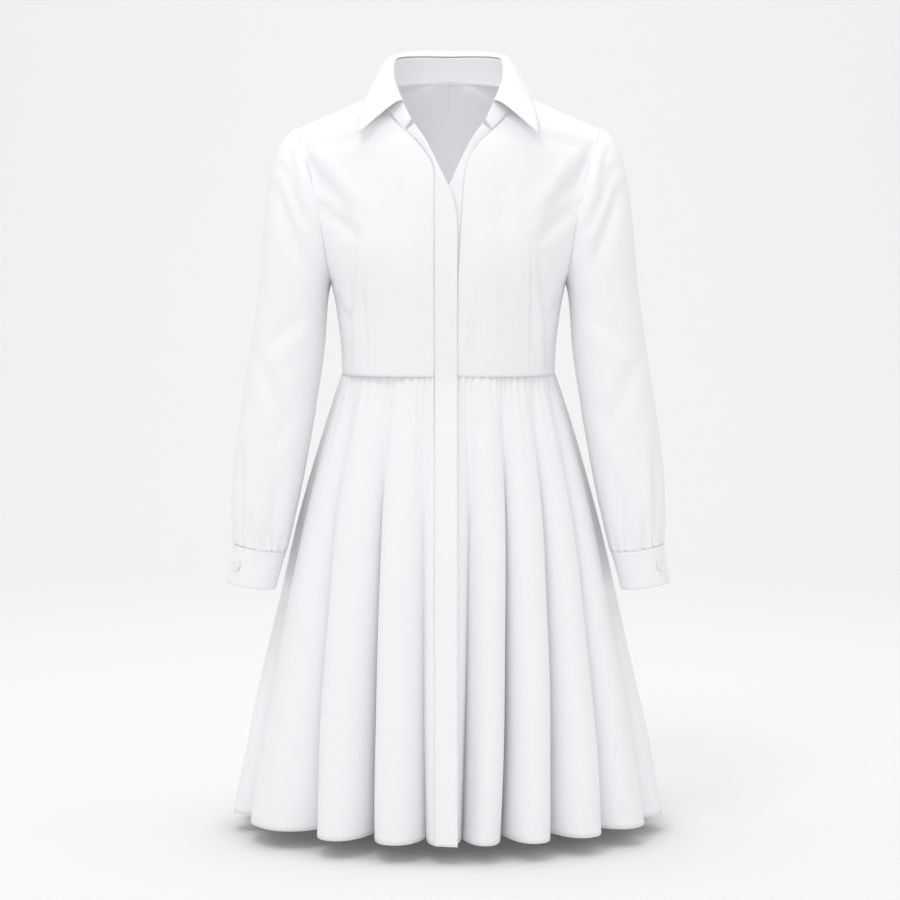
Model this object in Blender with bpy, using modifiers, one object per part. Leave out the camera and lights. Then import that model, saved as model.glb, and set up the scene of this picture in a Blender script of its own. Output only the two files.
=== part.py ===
"""A sleeved shirt dress in white cotton poplin, filled out as it is when worn.

Run with:  blender --background --python part.py
Metres, +Z up.  The front faces -Y and the wearer's left is +X.  The origin lies between
the two shoulder high points, where the wearer's shoulders hold the dress.
Every piece of cloth is a lofted sheet, its outer face, that Solidify gives its wall.
The tables are in millimetres.
"""
import math
from collections import namedtuple

import bpy
import numpy as np

MM = 0.001

# ---------------------------------------------------------------- driving dimensions (mm)
WALL = 1.4                # thickness of the cloth wall
SEAM = 0.5               # gap between two pieces that are sewn together
LAP = 0.8                 # how far a strip that lies on a panel stands off it
WAIST_Z = -370.0          # waist seam
HEM_Z = -941.0            # hem
PLACKET_STITCH_X = -17.5  # stitched edge of the upper placket
PLACKET_FREE_X = 11.5     # free edge of the upper placket
CUFF_OVERLAP = 0.09       # part of a turn by which a cuff's ends pass each other
BUTTON_RADIUS = 6.2
BUTTON_THICKNESS = 2.4
SLEEVE_COLUMNS = 20
CUFF_COLUMNS = 26
ROW_COLUMNS = 8           # columns of cloth across half a bodice


# ---------------------------------------------------------------- small geometry helpers
def vec(x, y, z):
    """A point or a direction as an array."""
    return np.array((x, y, z), dtype=float)


def unit(vector):
    """The direction of a vector."""
    return vector / np.linalg.norm(vector)


def smooth_rows(keys, values, at):
    """A smooth curve (Catmull-Rom) through values at keys, read at one place."""
    keys = np.asarray(keys, dtype=float)
    values = np.asarray(values, dtype=float)
    if values.ndim == 1:
        return float(smooth_rows(keys, values[:, None], at)[0])
    at = min(max(at, keys[0]), keys[-1])
    i = min(int(np.searchsorted(keys, at, side="right")) - 1, len(keys) - 2)
    span = keys[i + 1] - keys[i]
    t = (at - keys[i]) / span
    slope = (values[i + 1] - values[i]) / span
    before = slope if i == 0 else (values[i + 1] - values[i - 1]) / (keys[i + 1] - keys[i - 1])
    last = i + 2 >= len(keys)
    after = slope if last else (values[i + 2] - values[i]) / (keys[i + 2] - keys[i])
    t2, t3 = t * t, t * t * t
    return ((2 * t3 - 3 * t2 + 1) * values[i] + (t3 - 2 * t2 + t) * span * before
            + (3 * t2 - 2 * t3) * values[i + 1] + (t3 - t2) * span * after)


def bezier(a, b, c, d, t):
    """A point on the cubic from a to d with the handles b and c."""
    s = 1 - t
    return s * s * s * a + 3 * s * s * t * b + 3 * s * t * t * c + t * t * t * d


def mirrored(points):
    """The same grid on the other side, with its columns turned round so that it faces out."""
    flipped = np.array(points)[:, ::-1].copy()
    flipped[:, :, 0] *= -1
    return flipped


# ---------------------------------------------------------------- bodice rows
# One row of cloth runs from the front (or back) edge of a panel to its side or armhole.
# edge_* is the start, side_* the end; turn is 1 where the row arrives facing sideways (side
# seam) and 0 where it arrives flat (shoulder); full is the length of the two handles.
Row = namedtuple("Row", "edge_x edge_y edge_z side_x side_y side_z turn full")

FRONT_ROWS = [
    Row(17.5, -104, -370.0, 138.0, 0, -370.0, 1.00, 0.60),
    Row(17.5, -110, -326.0, 140.0, 0, -326.0, 1.00, 0.60),
    Row(17.5, -116, -284.0, 146.0, 0, -280.0, 1.00, 0.60),
    Row(17.5, -119, -254.0, 151.0, 0, -254.0, 1.00, 0.60),
    Row(17.5, -119, -232.0, 152.5, -29, -242.0, 0.85, 0.55),
    Row(17.5, -117, -205.0, 155.5, -47, -219.0, 0.70, 0.50),
    Row(17.5, -113, -172.0, 160.0, -56, -190.0, 0.55, 0.45),
    Row(17.5, -108, -138.0, 167.0, -57, -158.0, 0.45, 0.42),
    Row(19.0, -100, -104.0, 176.0, -50, -123.0, 0.35, 0.38),
    Row(37.5, -88, -76.0, 183.5, -40, -99.0, 0.28, 0.36),
    Row(53.0, -76, -60.5, 188.0, -31, -83.0, 0.20, 0.34),
    Row(73.0, -62, -41.0, 191.5, -22, -71.0, 0.12, 0.34),
    Row(78.0, -32, -17.0, 194.5, -12, -61.0, 0.05, 0.34),
    Row(73.0, -3, -0.5, 196.0, -3, -54.0, 0.00, 0.34),
]
# The left front starts further over, beside the lower placket.
LEFT_EDGE_X = [8.0, 8.6, 9.4, 10.4, 11.6, 13.2, 15.6, 18.2, 22.5, 38.5, 54.0, 73.0, 78.0, 73.0]

BACK_ROWS = [
    Row(0, 94, -370.0, 138.0, 0, -370.0, 1.00, 0.60),
    Row(0, 100, -326.0, 140.0, 0, -326.0, 1.00, 0.60),
    Row(0, 106, -284.0, 146.0, 0, -280.0, 1.00, 0.60),
    Row(0, 109, -254.0, 151.0, 0, -254.0, 1.00, 0.60),
    Row(0, 111, -228.0, 153.0, 31, -241.0, 0.85, 0.55),
    Row(0, 112, -198.0, 157.0, 50, -217.0, 0.70, 0.50),
    Row(0, 111, -160.0, 162.5, 60, -185.0, 0.55, 0.46),
    Row(0, 107, -118.0, 169.5, 60, -151.0, 0.45, 0.42),
    Row(0, 99, -74.0, 178.0, 52, -119.0, 0.35, 0.40),
    Row(0, 85, -28.0, 184.5, 41, -96.0, 0.28, 0.38),
    Row(0, 67, 11.5, 188.5, 30, -80.5, 0.22, 0.38),
    Row(35.0, 60, 10.5, 191.5, 20, -69.5, 0.15, 0.36),
    Row(62.0, 36, 6.0, 194.5, 10, -60.5, 0.07, 0.34),
    Row(73.0, -0.8, 0.0, 196.0, -0.8, -54.0, 0.00, 0.34),
]

BUST_X, BUST_Z, BUST_FULL = 88.0, -212.0, 9.0      # fullest place of a front, and how full
BUST_ACROSS, BUST_DOWN = 46.0, 52.0


def bodice_point(row, t):
    """A point of one bodice row, t from 0 at the panel's edge to 1 at the side."""
    start = vec(row.edge_x, row.edge_y, row.edge_z)
    end = vec(row.side_x, row.side_y, row.side_z)
    across = end - start
    drop = vec(0, 0, across[2] / 3)
    first = start + vec(row.full * across[0], 0, 0) + drop
    second = end - vec(row.full * (1 - row.turn) * across[0], row.full * across[1], 0) - drop
    point = bezier(start, first, second, end, t)
    if row.edge_y < -3.5:
        bust = math.exp(-((point[0] - BUST_X) / BUST_ACROSS) ** 2
                        - ((point[2] - BUST_Z) / BUST_DOWN) ** 2)
        point += BUST_FULL * bust * vec(0.35, -0.94, 0)
    return point


def bodice_grid(rows, edge_gap, side_gap, columns=ROW_COLUMNS):
    """All rows of half a bodice on the +X side, kept back from its edges by the gaps."""
    grid = []
    for row in rows:
        line = [bodice_point(row, t) for t in np.linspace(0, 1, columns + 1)]
        line[0] = line[0] + edge_gap * unit(line[1] - line[0])
        line[-1] = line[-1] - side_gap * unit(line[-1] - line[-2])
        grid.append(line)
    return np.array(grid)


def bodice_front(edge_xs, rows=FRONT_ROWS):
    """Half a front whose centre edge runs through the given X values."""
    return [row._replace(edge_x=x) for row, x in zip(rows, edge_xs)]


# ---------------------------------------------------------------- skirt
# Half-sizes of the skirt over its folds, with the depth in front of and behind the side seam.
Ring = namedtuple("Ring", "z half_width front back")
SKIRT_RINGS = [
    Ring(-370.5, 138.0, 104.0, 94.0),
    Ring(-413.0, 153.0, 119.0, 108.0),
    Ring(-466.0, 170.0, 135.0, 125.0),
    Ring(-566.0, 198.0, 158.0, 150.0),
    Ring(-666.0, 221.5, 176.0, 170.0),
    Ring(-752.0, 242.0, 190.0, 185.0),
    Ring(-846.0, 263.0, 202.0, 198.0),
    Ring(HEM_Z, 282.0, 212.0, 210.0),
]
# A row for each valley between two folds: its direction at the waist and at the hem, in
# degrees from the front centre, and how deep it is at the hem.
Valley = namedtuple("Valley", "waist hem depth")
VALLEYS = [
    Valley(-98, -93, 34), Valley(-83, -75, 32), Valley(-61, -41, 60), Valley(-33, -22.4, 74),
    Valley(-12, -6.4, 44), Valley(11, 3.8, 46), Valley(30, 15.6, 70), Valley(50, 30.6, 64),
    Valley(67, 48.6, 46), Valley(84, 70, 32), Valley(99, 96, 36), Valley(114, 113, 58),
    Valley(129, 130, 66), Valley(144, 148, 58), Valley(159, 163, 68), Valley(176, 182, 56),
    Valley(192, 199, 70), Valley(208, 216, 60), Valley(225, 233, 64), Valley(243, 251, 46),
]
PLACKET_LOBE = 4          # the fold between valleys 4 and 5 carries the placket
SIDE_LEFT_LOBE = 9        # the fold that carries the left side seam
SIDE_RIGHT_LOBE = 0       # the fold that carries the right side seam
SIDE_SEAM_PLACE = 0.5     # the side seams run down the top of their folds
FOLD_SEAM_BACK = 0.9      # a skirt panel stops this much short of a seam on a fold
LOWER_SEAM_BACK = 1.4     # the lower placket stops this much short of the skirt's flank
FOLD_STOPS = (0.0, 0.12, 0.3, 0.5, 0.7, 0.88)   # places of the columns across one fold
SKIRT_ROWS = (0.0, 0.05, 0.13, 0.26, 0.42, 0.58, 0.74, 0.88, 1.0)
VALLEY_PINCH = 0.9        # near 1 a valley is narrow and the fold beside it broad
WAIST_RIPPLE = 0.8        # depth of the gathers at the waist seam


def valley(index):
    """A valley of the ring, counted on past the last one."""
    turns, place = divmod(index, len(VALLEYS))
    v = VALLEYS[place]
    return v._replace(waist=v.waist + 360 * turns, hem=v.hem + 360 * turns)


def skirt_point(lobe, u, h):
    """A point of the skirt: u runs from 0 to 1 across a fold, h from the waist to the hem."""
    a, b = valley(lobe), valley(lobe + 1)
    spread = h ** 0.8
    start = a.waist + (a.hem - a.waist) * spread
    end = b.waist + (b.hem - b.waist) * spread
    pinch = VALLEY_PINCH * min(1.0, 0.35 + 2.2 * h)
    share = u - pinch * math.sin(2 * math.pi * u) / (2 * math.pi)
    angle = math.radians(start + (end - start) * share)
    z = WAIST_Z - 0.5 + (HEM_Z - WAIST_Z + 0.5) * h
    tops = [-ring.z for ring in SKIRT_RINGS]
    half, front, back = smooth_rows(tops, [ring[1:] for ring in SKIRT_RINGS], -z)
    deep = front if math.cos(angle) > 0 else back
    point = vec(half * math.sin(angle), -deep * math.cos(angle), z)
    inward = -unit(vec(math.sin(angle) / half, -math.cos(angle) / deep, 0))
    valley_depth = a.depth + (b.depth - a.depth) * u
    depth = WAIST_RIPPLE + (valley_depth - WAIST_RIPPLE) * h ** 0.8
    recess = depth * (0.5 * (1 + math.cos(2 * math.pi * u))) ** 1.15
    return point + recess * inward


def place_at_x(lobe, x, h):
    """Where across a fold near the centre front the cloth passes a given X."""
    low, high = 0.12, 0.88
    for _ in range(40):
        middle = (low + high) / 2
        if skirt_point(lobe, middle, h)[0] < x:
            low = middle
        else:
            high = middle
    return (low + high) / 2


def skirt_panel(first, last, start_place, end_place):
    """A panel from a place on its first fold to a place on its last, both given by height."""
    grid = []
    for h in SKIRT_ROWS:
        begin, finish = start_place(h), end_place(h)
        places = [(first, begin + (1 - begin) * s) for s in (0.0, 0.25, 0.5, 0.78)]
        for lobe in range(first + 1, last):
            places += [(lobe, stop) for stop in FOLD_STOPS]
        places += [(last, finish * s) for s in (0.0, 0.22, 0.5, 0.75, 1.0)]
        line = [skirt_point(lobe, u, h) for lobe, u in places]
        line[0] = line[0] + FOLD_SEAM_BACK * unit(line[1] - line[0])
        line[-1] = line[-1] - FOLD_SEAM_BACK * unit(line[-1] - line[-2])
        grid.append(line)
    return np.array(grid)


# ---------------------------------------------------------------- plackets
# Free edge of the upper placket up the bodice, at the heights of the front rows' edges, and
# then along the open neck, where the strip narrows as it turns under.
Edge = namedtuple("Edge", "x y z")
UPPER_FREE = [
    Edge(11.5, -105, -370), Edge(11.5, -111, -326), Edge(11.5, -117, -284),
    Edge(11.5, -120, -254), Edge(11.5, -120.5, -232), Edge(11.7, -119, -205),
    Edge(11.2, -115, -172), Edge(3.8, -111, -140), Edge(-11.5, -103, -108),
    Edge(-30.0, -92, -73), Edge(-44.0, -80, -53),
]
LOWER_FREE = [
    Edge(-11.0, -101, -370), Edge(-11.0, -107, -326), Edge(-11.0, -113, -284),
    Edge(-11.0, -116, -254), Edge(-11.0, -116, -232), Edge(-10.5, -114.5, -205),
    Edge(-8.5, -111, -172), Edge(-3.0, -105, -140), Edge(11.5, -101, -108),
    Edge(30.0, -92, -73), Edge(44.0, -80, -53),
]
PLACKET_ROWS = 11         # the front rows that the plackets run beside


def placket_grid(stitched, free, proud):
    """A strip between two edges, moved out, with a crown line between them."""
    stitched, free = np.array(stitched), np.array(free)
    middle = (stitched + free) / 2 + vec(0, -0.8, 0)
    grid = np.stack([stitched, middle, free], axis=1)
    grid[:, :, 1] -= proud
    return grid


def with_gap(grid, gap):
    """A strip drawn back a little from the panel that it is sewn to."""
    across = grid[:, 1] - grid[:, 0]
    grid[:, 0] += gap * across / np.linalg.norm(across, axis=1)[:, None]
    return grid


# ---------------------------------------------------------------- collar
# Stations from the centre back to the front, on the +X side.  neck is the seam on the
# bodice, roll the seam between stand and leaf, crest the fold's top, edge the leaf's edge.
Station = namedtuple("Station", "neck roll crest edge")
COLLAR = [
    Station((0, 67, 12.0), (0, 62, 44), (0, 70, 58), (0, 86, 8)),
    Station((35, 60.5, 11.0), (32, 56, 44), (37, 64, 57), (47, 79, 5)),
    Station((62, 37, 6.5), (57, 36, 41), (64, 39, 51), (83, 50, 0)),
    Station((73.5, 8, 2.2), (68, 10, 34), (75, 9, 42), (101, 13, -4.5)),
    Station((78, -22, -9), (69, -17, 11), (76, -20, 18), (107, -25, -20)),
    Station((78, -46, -25), (63, -43, -9), (69, -50, -3), (112, -58, -44)),
    Station((70, -65.5, -42), (57, -61, -24), (60, -70, -20), (114, -78, -65)),
]
STAND_END = Station((54, -77, -59.0), (46, -78, -47), None, None)
COLLAR_STEPS = 14


def collar_row(name, at, stations):
    """A named point of the collar, read smoothly between its stations."""
    keys = list(range(len(stations)))
    return smooth_rows(keys, [getattr(s, name) for s in stations], at)


def stand_grid():
    """Half the stand, from its neck seam to the fold."""
    stations = COLLAR + [STAND_END]
    grid = []
    for share in (0.0, 0.5, 1.0):
        line = []
        for at in np.linspace(0, len(stations) - 1, COLLAR_STEPS + 3):
            low, high = (collar_row(name, at, stations) for name in ("neck", "roll"))
            rise = unit(high - low)
            low = low + (SEAM + 0.9) * rise
            high = high - SEAM * rise
            line.append(low + (high - low) * share)
        grid.append(line)
    return np.array(grid)


def leaf_grid():
    """Half the leaf, from the fold over its crest and down to its edge."""
    grid = []
    for t in (0.0, 0.16, 0.34, 0.52, 0.76, 1.0):
        line = []
        for at in np.linspace(0, len(COLLAR) - 1, COLLAR_STEPS + 1):
            roll, crest, edge = (collar_row(n, at, COLLAR) for n in ("roll", "crest", "edge"))
            start = roll + 0.8 * unit(crest - roll)
            over = crest + 0.42 * (crest - roll)
            down = crest + 0.30 * (edge - crest) + 0.20 * (crest - roll)
            line.append(bezier(start, over, down, edge, t))
        grid.append(line)
    return np.array(grid)


# ---------------------------------------------------------------- sleeves and cuffs
# Rings down the +X sleeve: centre, half-width across it and half-depth front to back.
SleeveRing = namedtuple("SleeveRing", "x y z half_width half_depth")
SLEEVE_RINGS = [
    SleeveRing(201.5, -3, -272, 45.5, 60),
    SleeveRing(208.5, -9, -338, 47.5, 59),
    SleeveRing(219.5, -17, -410, 47.5, 57),
    SleeveRing(231.5, -27, -490, 46.0, 54),
    SleeveRing(239.0, -35, -548, 41.0, 49),
    SleeveRing(243.2, -40, -589, 34.5, 40.5),
]
CUFF_RINGS = [
    SleeveRing(243.3, -40, -591, 34.6, 40.6),
    SleeveRing(248.6, -43.5, -615, 33.0, 39.0),
    SleeveRing(253.8, -47, -639, 31.8, 38.0),
]
SLEEVE_LEAN = math.radians(9)     # the rings lie square to a sleeve that leans out
CAP_ROWS = (0.0, 0.07, 0.18, 0.34, 0.52, 0.76)


def ring_point(ring, angle, grow=0.0):
    """A point of a sleeve ring, from the outer side (0) round by the front (90 degrees)."""
    across = vec(math.cos(SLEEVE_LEAN), 0, math.sin(SLEEVE_LEAN))
    wide = (ring.half_width + grow) * math.copysign(abs(math.cos(angle)) ** 0.92, math.cos(angle))
    deep = (ring.half_depth + grow) * math.copysign(abs(math.sin(angle)) ** 0.92, math.sin(angle))
    return vec(ring.x, ring.y, ring.z) + wide * across + vec(0, -deep, 0)


def armhole_point(angle):
    """The armhole, from the shoulder (0) by the front (90 degrees) to the underarm and back."""
    front, back = FRONT_ROWS[3:], BACK_ROWS[3:]
    turn = angle % (2 * math.pi)
    rows = front if turn <= math.pi else back
    share = turn / math.pi if turn <= math.pi else (2 * math.pi - turn) / math.pi
    place = (1 - share) * (len(rows) - 1)
    keys = list(range(len(rows)))
    point = smooth_rows(keys, [(r.side_x, r.side_y, r.side_z) for r in rows], place)
    return point + vec(2.6, 0, 0.6 * math.cos(turn))


def cap_point(angle, t):
    """A point of the sleeve's cap, t from 0 at the armhole to 1 at the first ring."""
    start, end = armhole_point(angle), ring_point(SLEEVE_RINGS[0], angle)
    upper = 0.5 * (1 + math.cos(angle))
    leave = upper * vec(125, 0, -60) + (1 - upper) * vec(6, 0, -18)
    leave = leave + vec(0, -26 * math.sin(angle), 0)
    arrive = vec(0.12, -0.03, -1) * (20 + 210 * upper)
    t2, t3 = t * t, t * t * t
    return ((2 * t3 - 3 * t2 + 1) * start + (t3 - 2 * t2 + t) * leave
            + (3 * t2 - 2 * t3) * end + (t3 - t2) * arrive)


def sleeve_grid():
    """The +X sleeve, from its armhole down to the cuff seam."""
    angles = np.linspace(0, 2 * math.pi, SLEEVE_COLUMNS, endpoint=False)
    grid = [[cap_point(a, t) for a in angles] for t in CAP_ROWS]
    grid += [[ring_point(ring, a) for a in angles] for ring in SLEEVE_RINGS]
    return np.array(grid)


def cuff_grid():
    """The +X cuff: a band whose front end passes over its back end on the outer side."""
    start = -2 * math.pi * CUFF_OVERLAP
    angles = np.linspace(start, 2 * math.pi, CUFF_COLUMNS + 1)
    grid = []
    for ring in CUFF_RINGS:
        line = []
        for a in angles:
            under = min(1.0, max(0.0, (a / (2 * math.pi) - 0.72) / 0.2))
            line.append(ring_point(ring, a, grow=-2.6 * under * under * (3 - 2 * under)))
        grid.append(line)
    return np.array(grid)


# ---------------------------------------------------------------- making the objects
def clear_scene():
    """An empty scene to build in."""
    for obj in list(bpy.data.objects):
        bpy.data.objects.remove(obj, do_unlink=True)


def finish_material(name, colour, roughness):
    """A plain Principled material."""
    material = bpy.data.materials.new(name)
    material.use_nodes = True
    shader = material.node_tree.nodes["Principled BSDF"]
    shader.inputs["Base Color"].default_value = (*colour, 1)
    shader.inputs["Roughness"].default_value = roughness
    shader.inputs["Metallic"].default_value = 0.0
    return material


def cloth_piece(name, grid, material, closed=False, mirror=False, wall=WALL):
    """A sheet of cloth from a grid of points, with its wall on the inner side."""
    rows, columns = grid.shape[:2]
    points = [tuple(p * MM) for p in grid.reshape(-1, 3)]
    faces = []
    for r in range(rows - 1):
        for c in range(columns if closed else columns - 1):
            d = (c + 1) % columns
            faces.append((r * columns + c, (r + 1) * columns + c,
                          (r + 1) * columns + d, r * columns + d))
    mesh = bpy.data.meshes.new(name)
    mesh.from_pydata(points, [], faces)
    mesh.update()
    mesh.shade_smooth()
    piece = bpy.data.objects.new(name, mesh)
    mesh.materials.append(material)
    collection.objects.link(piece)
    if mirror:
        halves = piece.modifiers.new("both halves", "MIRROR")
        halves.use_axis = (True, False, False)
        halves.merge_threshold = 0.00005
    thick = piece.modifiers.new("cloth wall", "SOLIDIFY")
    thick.thickness = wall * MM
    thick.offset = -1
    return piece


def button(name, centre, facing, material):
    """A round button with a dished face, turned about its own axis."""
    radius, thick = BUTTON_RADIUS * MM, BUTTON_THICKNESS * MM
    profile = [(0.0, 0.62 * thick), (0.62 * radius, 0.62 * thick), (0.74 * radius, thick),
               (0.93 * radius, thick), (radius, 0.7 * thick), (radius, 0.25 * thick),
               (0.9 * radius, 0.0), (0.0, 0.0)]
    mesh = bpy.data.meshes.new(name)
    mesh.from_pydata([(x, 0, z) for x, z in profile], [(i, i + 1) for i in range(7)], [])
    mesh.materials.append(material)
    piece = bpy.data.objects.new(name, mesh)
    collection.objects.link(piece)
    turned = piece.modifiers.new("turned", "SCREW")
    turned.steps = turned.render_steps = 24
    turned.use_merge_vertices = True
    turned.merge_threshold = 0.00001
    piece.location = centre * MM
    direction = bpy_vector(facing)
    piece.rotation_euler = direction.to_track_quat("Z", "Y").to_euler()
    return piece


def bpy_vector(array):
    """An array as one of Blender's own vectors."""
    from mathutils import Vector
    return Vector(tuple(array))


clear_scene()
collection = bpy.data.collections.new("shirt dress")
bpy.context.scene.collection.children.link(collection)
poplin = finish_material("white cotton poplin", (0.86, 0.87, 0.88), 0.8)
plastic = finish_material("white polyester button", (0.9, 0.9, 0.89), 0.3)

# ---- bodice
right_front = bodice_front([-PLACKET_STITCH_X] * 8 + [row.edge_x for row in FRONT_ROWS[8:]])
left_front = bodice_front(LEFT_EDGE_X)
left_grid = bodice_grid(left_front, SEAM / 2, SEAM / 2)
right_grid = bodice_grid(right_front, SEAM / 2, SEAM / 2)
cloth_piece("bodice_front_left", left_grid[::-1], poplin)
cloth_piece("bodice_front_right", mirrored(right_grid)[::-1], poplin)
back_half = bodice_grid(BACK_ROWS, 0.0, SEAM / 2)
back_half[-1, :, 1] += SEAM
cloth_piece("bodice_back", back_half, poplin, mirror=True)

# ---- skirt
side_left = SIDE_LEFT_LOBE
side_right = SIDE_RIGHT_LOBE + len(VALLEYS)
front_left_panel = skirt_panel(
    PLACKET_LOBE, side_left,
    lambda h: place_at_x(PLACKET_LOBE, LEFT_EDGE_X[0], h),
    lambda h: SIDE_SEAM_PLACE)
back_panel = skirt_panel(
    side_left, side_right,
    lambda h: SIDE_SEAM_PLACE,
    lambda h: SIDE_SEAM_PLACE)
front_right_panel = skirt_panel(
    SIDE_RIGHT_LOBE, PLACKET_LOBE,
    lambda h: SIDE_SEAM_PLACE,
    lambda h: place_at_x(PLACKET_LOBE, PLACKET_STITCH_X, h))
cloth_piece("skirt_front_left", front_left_panel, poplin)
cloth_piece("skirt_back", back_panel, poplin)
cloth_piece("skirt_front_right", front_right_panel, poplin)

# ---- plackets, from the neck down over the waist seam to the hem
skirt_heights = SKIRT_ROWS[1:]
upper_stitched = [vec(-r.edge_x, r.edge_y, r.edge_z) for r in right_front[:PLACKET_ROWS]][::-1]
upper_free = [vec(*e) for e in UPPER_FREE][::-1]
lower_stitched = [vec(r.edge_x, r.edge_y, r.edge_z) for r in left_front[:PLACKET_ROWS]][::-1]
lower_free = [vec(*e) for e in LOWER_FREE][::-1]
for h in skirt_heights:
    stitched = skirt_point(PLACKET_LOBE, place_at_x(PLACKET_LOBE, PLACKET_STITCH_X, h), h)
    crest = skirt_point(PLACKET_LOBE, 0.5, h)
    sewn = skirt_point(PLACKET_LOBE, place_at_x(PLACKET_LOBE, LEFT_EDGE_X[0], h), h)
    upper_stitched.append(stitched)
    upper_free.append(vec(PLACKET_FREE_X, crest[1] - 1.0, crest[2]))
    lower_stitched.append(sewn - vec(LOWER_SEAM_BACK, 0, 0))
    lower_free.append(vec(-11.0, crest[1] + 3.0 + 5.0 * h, crest[2]))
upper = with_gap(placket_grid(upper_stitched, upper_free, LAP), SEAM)
lower = with_gap(placket_grid(lower_stitched, lower_free, 0.0), SEAM)
cloth_piece("placket_upper", upper, poplin)
cloth_piece("placket_lower", lower[:, ::-1], poplin)

# ---- collar
cloth_piece("collar_stand", stand_grid()[::-1], poplin, mirror=True)
cloth_piece("collar_leaf", leaf_grid()[::-1, ::-1], poplin, mirror=True)

# ---- sleeves, cuffs and buttons, the left and its mirror image
sleeve = sleeve_grid()
cuff = cuff_grid()
cloth_piece("sleeve_left", sleeve[:, ::-1], poplin, closed=True)
cloth_piece("sleeve_right", mirrored(sleeve[:, ::-1]), poplin, closed=True)
cloth_piece("cuff_left", cuff[:, ::-1], poplin)
cloth_piece("cuff_right", mirrored(cuff[:, ::-1]), poplin)
BUTTON_ANGLE = math.radians(52)
seat = ring_point(CUFF_RINGS[1], BUTTON_ANGLE)
beside = ring_point(CUFF_RINGS[1], BUTTON_ANGLE + 0.02)
below = ring_point(CUFF_RINGS[2], BUTTON_ANGLE)
outward = unit(np.cross(below - seat, beside - seat))
outward = outward if outward[1] < 0 else -outward
place = seat + 0.9 * outward
button("cuff_button_left", place, outward, plastic)
button("cuff_button_right", place * vec(-1, 1, 1), outward * vec(-1, 1, 1), plastic)
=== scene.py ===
# %% [markdown]
# # A white cotton shirt dress
# The dress is sewn from sixteen pieces: a bodice, a gathered skirt, two plackets, a collar in
# two parts, and sleeves with buttoned cuffs. Each piece of cloth is a thin shell on the form
# that the solid model gives it. It could be draped by a simulation, but a worn dress keeps
# its shape from its cut, so the folds are worked out from the same few sizes instead.

import math
from collections import namedtuple

import bmesh
import bpy
import numpy as np
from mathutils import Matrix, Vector


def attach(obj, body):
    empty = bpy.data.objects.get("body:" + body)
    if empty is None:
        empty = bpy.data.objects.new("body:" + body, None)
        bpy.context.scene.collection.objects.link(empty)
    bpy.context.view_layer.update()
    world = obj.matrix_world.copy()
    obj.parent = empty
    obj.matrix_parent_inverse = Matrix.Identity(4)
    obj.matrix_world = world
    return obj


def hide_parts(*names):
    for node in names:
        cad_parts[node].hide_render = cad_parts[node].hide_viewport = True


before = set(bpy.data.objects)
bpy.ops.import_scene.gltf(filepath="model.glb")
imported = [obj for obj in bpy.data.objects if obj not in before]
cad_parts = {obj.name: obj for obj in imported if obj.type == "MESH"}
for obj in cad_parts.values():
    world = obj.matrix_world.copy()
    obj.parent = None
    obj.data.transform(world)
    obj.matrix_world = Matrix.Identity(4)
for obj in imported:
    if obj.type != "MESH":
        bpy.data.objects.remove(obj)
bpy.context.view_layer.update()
MM = 0.001

# %% [markdown]
# ## Small tools
# Colours are written as sRGB hex, which Blender needs as linear numbers. One function adds a
# node, because long materials are easier to read when each node is one call.

# %% Colour and node tools
def linear(hex_colour):
    """sRGB hex to linear red, green, blue and alpha."""
    parts = [int(hex_colour[i:i + 2], 16) / 255 for i in (1, 3, 5)]
    return [c / 12.92 if c <= 0.04045 else ((c + 0.055) / 1.055) ** 2.4 for c in parts] + [1.0]


def add_node(tree, kind, settings=None, inputs=None, links=None):
    """Adds a node, sets its options and sockets, and links sockets to other nodes' outputs."""
    node = tree.nodes.new(kind)
    for name, value in (settings or {}).items():
        setattr(node, name, value)
    for name, value in (inputs or {}).items():
        node.inputs[name].default_value = value
    for name, output in (links or {}).items():
        tree.links.new(output, node.inputs[name])
    return node


def new_material(name):
    """An empty node material with its output, and the tree."""
    material = bpy.data.materials.new(name)
    material.use_nodes = True
    material.node_tree.nodes.clear()
    return material, material.node_tree


# %% [markdown]
# ## Camera, floor and light
# The camera stands level with the chest, about three metres away, and looks slightly down.
# A high-key studio has a pale sweep and large soft lights, so that white cloth reads by its
# soft shadows. The plain Standard view keeps whites white.

# %% Camera and stage
CAMERA_DISTANCE = 2.9
CAMERA_HEIGHT = -0.261
CAMERA_TILT = math.radians(4.1)
scene = bpy.context.scene
scene.view_settings.view_transform = "Standard"
camera_data = bpy.data.cameras.new("camera")
camera_data.lens = 89.2
camera = bpy.data.objects.new("camera", camera_data)
camera.location = (0.002, -CAMERA_DISTANCE, CAMERA_HEIGHT)
camera.rotation_euler = (math.pi / 2 - CAMERA_TILT, 0, 0)
scene.collection.objects.link(camera)
scene.camera = camera

FLOOR_Z = -0.965
paper, tree = new_material("matt white studio paper")
paper_shader = add_node(tree, "ShaderNodeBsdfPrincipled",
                        inputs={"Base Color": linear("#f4f4f4"), "Roughness": 0.95})
add_node(tree, "ShaderNodeOutputMaterial", links={"Surface": paper_shader.outputs[0]})
SWEEP_WIDTH, SWEEP_BACK, SWEEP_RADIUS, SWEEP_TOP = 9.0, 2.6, 1.6, 5.0
profile = [(-7.0, FLOOR_Z), (SWEEP_BACK, FLOOR_Z)]
for a in np.linspace(0, math.pi / 2, 24)[1:]:
    profile.append((SWEEP_BACK + SWEEP_RADIUS * math.sin(a),
                    FLOOR_Z + SWEEP_RADIUS * (1 - math.cos(a))))
profile.append((SWEEP_BACK + SWEEP_RADIUS, SWEEP_TOP))
sweep = bpy.data.meshes.new("studio_sweep")
sweep.from_pydata([(x, y, z) for y, z in profile for x in (-SWEEP_WIDTH, SWEEP_WIDTH)], [],
                  [(2 * i, 2 * i + 1, 2 * i + 3, 2 * i + 2) for i in range(len(profile) - 1)])
sweep.shade_smooth()
sweep.materials.append(paper)
floor = bpy.data.objects.new("studio_sweep", sweep)
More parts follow.
